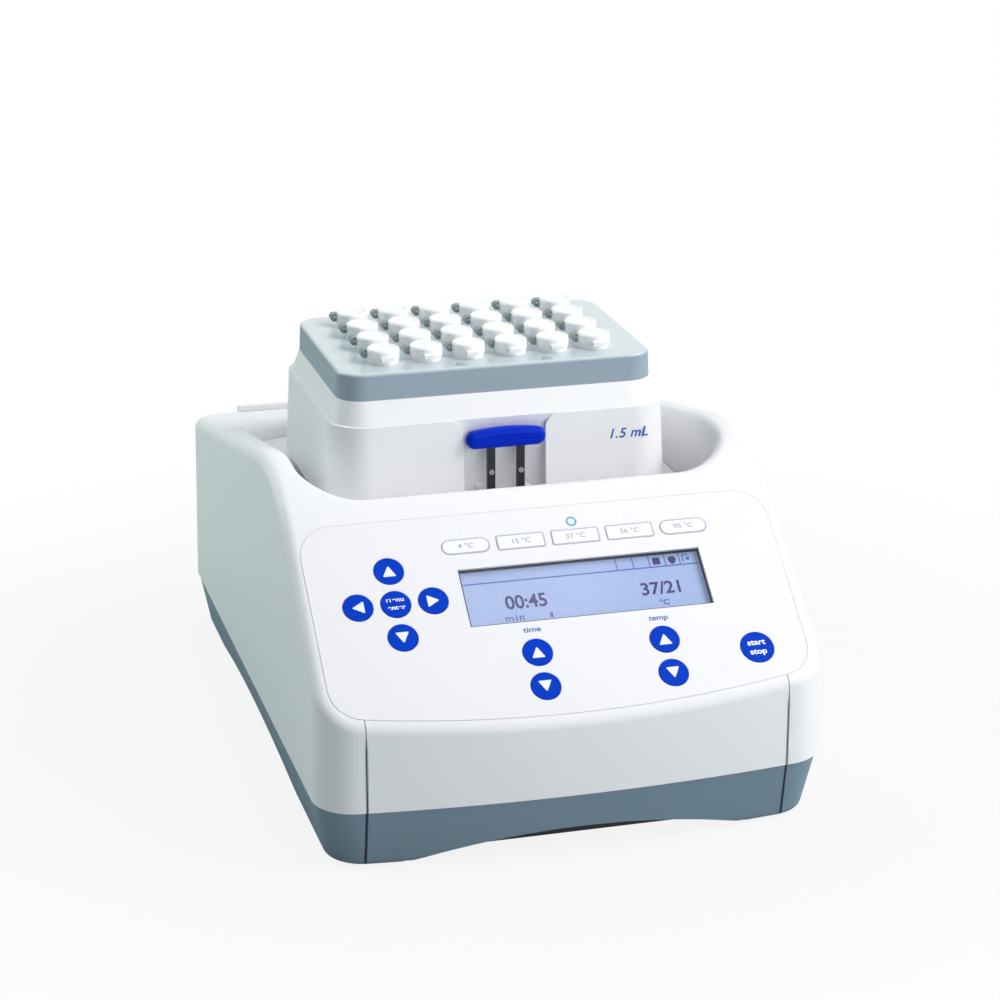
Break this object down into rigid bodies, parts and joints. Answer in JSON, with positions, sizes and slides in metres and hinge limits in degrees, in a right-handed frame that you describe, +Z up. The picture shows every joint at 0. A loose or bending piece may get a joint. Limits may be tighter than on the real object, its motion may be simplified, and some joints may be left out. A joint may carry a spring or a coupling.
{
  "type": "dry bath incubator",
  "caption": "Bench dry bath with a sloping key panel, display and a lift-off block of small tubes in a well.",
  "frame": {"origin": "on the table under the middle of the instrument's plan outline", "axes": "+X to the right of a user at the key panel, +Y to the back, +Z up"},
  "size_m": [0.206, 0.304, 0.1697],
  "materials": {
    "white_plastic": "fine moulded texture",
    "grey_plastic": "fine moulded texture",
    "block_grey": "fine moulded texture",
    "overlay_film": "satin printed film",
    "blue_key": "satin printed film",
    "preset_key": "satin printed film",
    "blue_plastic": "satin",
    "black_plastic": "satin",
    "clear_window": "clear",
    "display_face": "back-lit",
    "circuit_board": "solder mask",
    "light_pipe": "frosted",
    "rubber": "matte",
    "steel": "bright",
    "black_steel": "satin black",
    "dark_sheet": "satin black",
    "aluminium": "machined",
    "ceramic_white": "matt",
    "tube_plastic": "natural polypropylene"
  },
  "bodies": {
    "housing": {"upper_housing": "white_plastic", "front_bezel": "white_plastic", "rear_panel": "white_plastic", "base_pan": "grey_plastic", "front_skirt": "grey_plastic", "bottom_plate": "dark_sheet", "keypad_overlay": "overlay_film", "display_frame": "black_plastic", "display_window": "clear_window", "display_module": "display_face", "control_board": "circuit_board", "key_switches": "black_plastic", "status_lights": "light_pipe", "rubber_feet": "rubber", "housing_screws": "steel", "mains_inlet": "black_plastic", "inlet_prongs": "steel", "switch_frame": "black_plastic", "fan_frame": "black_plastic", "well_floor": "white_plastic", "heatsink_screws": "steel", "heater_plate": "aluminium", "plate_gasket": "rubber", "thermoelectric_modules": "ceramic_white", "heatsink": "aluminium", "power_supply": "steel", "power_board": "circuit_board"},
    "thermoblock": {"block_core": "aluminium", "block_top_plate": "block_grey", "block_skirt": "white_plastic", "block_screws": "steel", "lever_pin": "steel"},
    "release_lever": {"lever_grip": "blue_plastic", "lever_legs": "black_steel", "lever_rivets": "steel"},
    "fan_rotor": {"fan_rotor": "black_plastic"},
    "power_rocker": {"power_rocker": "black_plastic"},
    "tube_row_1": {"tube_row_1": "tube_plastic"},
    "tube_row_2": {"tube_row_2": "tube_plastic"},
    "tube_row_3": {"tube_row_3": "tube_plastic"},
    "tube_row_4": {"tube_row_4": "tube_plastic"},
    "key_nav_up": {"key_nav_up": "blue_key"},
    "key_nav_left": {"key_nav_left": "blue_key"},
    "key_nav_enter": {"key_nav_enter": "blue_key"},
    "key_nav_right": {"key_nav_right": "blue_key"},
    "key_nav_down": {"key_nav_down": "blue_key"},
    "key_time_up": {"key_time_up": "blue_key"},
    "key_time_down": {"key_time_down": "blue_key"},
    "key_temp_up": {"key_temp_up": "blue_key"},
    "key_temp_down": {"key_temp_down": "blue_key"},
    "key_start_stop": {"key_start_stop": "blue_key"},
    "key_preset_1": {"key_preset_1": "preset_key"},
    "key_preset_2": {"key_preset_2": "preset_key"},
    "key_preset_3": {"key_preset_3": "preset_key"},
    "key_preset_4": {"key_preset_4": "preset_key"},
    "key_preset_5": {"key_preset_5": "preset_key"}
  },
  "joints": [
    {"name": "block_lift", "type": "slide", "parent": "housing", "child": "thermoblock", "axis": [0, 0, 1], "range_m": [0, 0.06]},
    {"name": "lever_swing", "type": "hinge", "parent": "thermoblock", "child": "release_lever", "pos_m": [0, -0.0368, 0.11], "axis": [1, 0, 0], "range_deg": [0, 18], "stiffness_Nm_per_rad": 0.05},
    {"name": "fan_spin", "type": "hinge", "parent": "housing", "child": "fan_rotor", "pos_m": [0.02, 0.1375, 0.06], "axis": [0, 1, 0], "continuous": true},
    {"name": "power_rocker_tilt", "type": "hinge", "parent": "housing", "child": "power_rocker", "pos_m": [-0.044, 0.1469, 0.072], "axis": [0, 0, 1], "range_deg": [-16, 0]},
    {"name": "tube_row_1_lift", "type": "slide", "parent": "thermoblock", "child": "tube_row_1", "axis": [0, 0, 1], "range_m": [0, 0.045]},
    {"name": "tube_row_2_lift", "type": "slide", "parent": "thermoblock", "child": "tube_row_2", "axis": [0, 0, 1], "range_m": [0, 0.045]},
    {"name": "tube_row_3_lift", "type": "slide", "parent": "thermoblock", "child": "tube_row_3", "axis": [0, 0, 1], "range_m": [0, 0.045]},
    {"name": "tube_row_4_lift", "type": "slide", "parent": "thermoblock", "child": "tube_row_4", "axis": [0, 0, 1], "range_m": [0, 0.045]},
    {"name": "nav_up_press", "type": "slide", "parent": "housing", "child": "key_nav_up", "axis": [0, 0.628, -0.7782], "range_m": [0, 0.0004], "stiffness_N_per_m": 150},
    {"name": "nav_left_press", "type": "slide", "parent": "housing", "child": "key_nav_left", "axis": [0, 0.628, -0.7782], "range_m": [0, 0.0004], "stiffness_N_per_m": 150},
    {"name": "nav_enter_press", "type": "slide", "parent": "housing", "child": "key_nav_enter", "axis": [0, 0.628, -0.7782], "range_m": [0, 0.0004], "stiffness_N_per_m": 150},
    {"name": "nav_right_press", "type": "slide", "parent": "housing", "child": "key_nav_right", "axis": [0, 0.628, -0.7782], "range_m": [0, 0.0004], "stiffness_N_per_m": 150},
    {"name": "nav_down_press", "type": "slide", "parent": "housing", "child": "key_nav_down", "axis": [0, 0.628, -0.7782], "range_m": [0, 0.0004], "stiffness_N_per_m": 150},
    {"name": "time_up_press", "type": "slide", "parent": "housing", "child": "key_time_up", "axis": [0, 0.628, -0.7782], "range_m": [0, 0.0004], "stiffness_N_per_m": 150},
    {"name": "time_down_press", "type": "slide", "parent": "housing", "child": "key_time_down", "axis": [0, 0.628, -0.7782], "range_m": [0, 0.0004], "stiffness_N_per_m": 150},
    {"name": "temp_up_press", "type": "slide", "parent": "housing", "child": "key_temp_up", "axis": [0, 0.628, -0.7782], "range_m": [0, 0.0004], "stiffness_N_per_m": 150},
    {"name": "temp_down_press", "type": "slide", "parent": "housing", "child": "key_temp_down", "axis": [0, 0.628, -0.7782], "range_m": [0, 0.0004], "stiffness_N_per_m": 150},
    {"name": "start_stop_press", "type": "slide", "parent": "housing", "child": "key_start_stop", "axis": [0, 0.628, -0.7782], "range_m": [0, 0.0004], "stiffness_N_per_m": 150},
    {"name": "preset_1_press", "type": "slide", "parent": "housing", "child": "key_preset_1", "axis": [0, 0.628, -0.7782], "range_m": [0, 0.0004], "stiffness_N_per_m": 150},
    {"name": "preset_2_press", "type": "slide", "parent": "housing", "child": "key_preset_2", "axis": [0, 0.628, -0.7782], "range_m": [0, 0.0004], "stiffness_N_per_m": 150},
    {"name": "preset_3_press", "type": "slide", "parent": "housing", "child": "key_preset_3", "axis": [0, 0.628, -0.7782], "range_m": [0, 0.0004], "stiffness_N_per_m": 150},
    {"name": "preset_4_press", "type": "slide", "parent": "housing", "child": "key_preset_4", "axis": [0, 0.628, -0.7782], "range_m": [0, 0.0004], "stiffness_N_per_m": 150},
    {"name": "preset_5_press", "type": "slide", "parent": "housing", "child": "key_preset_5", "axis": [0, 0.628, -0.7782], "range_m": [0, 0.0004], "stiffness_N_per_m": 150}
  ]
}
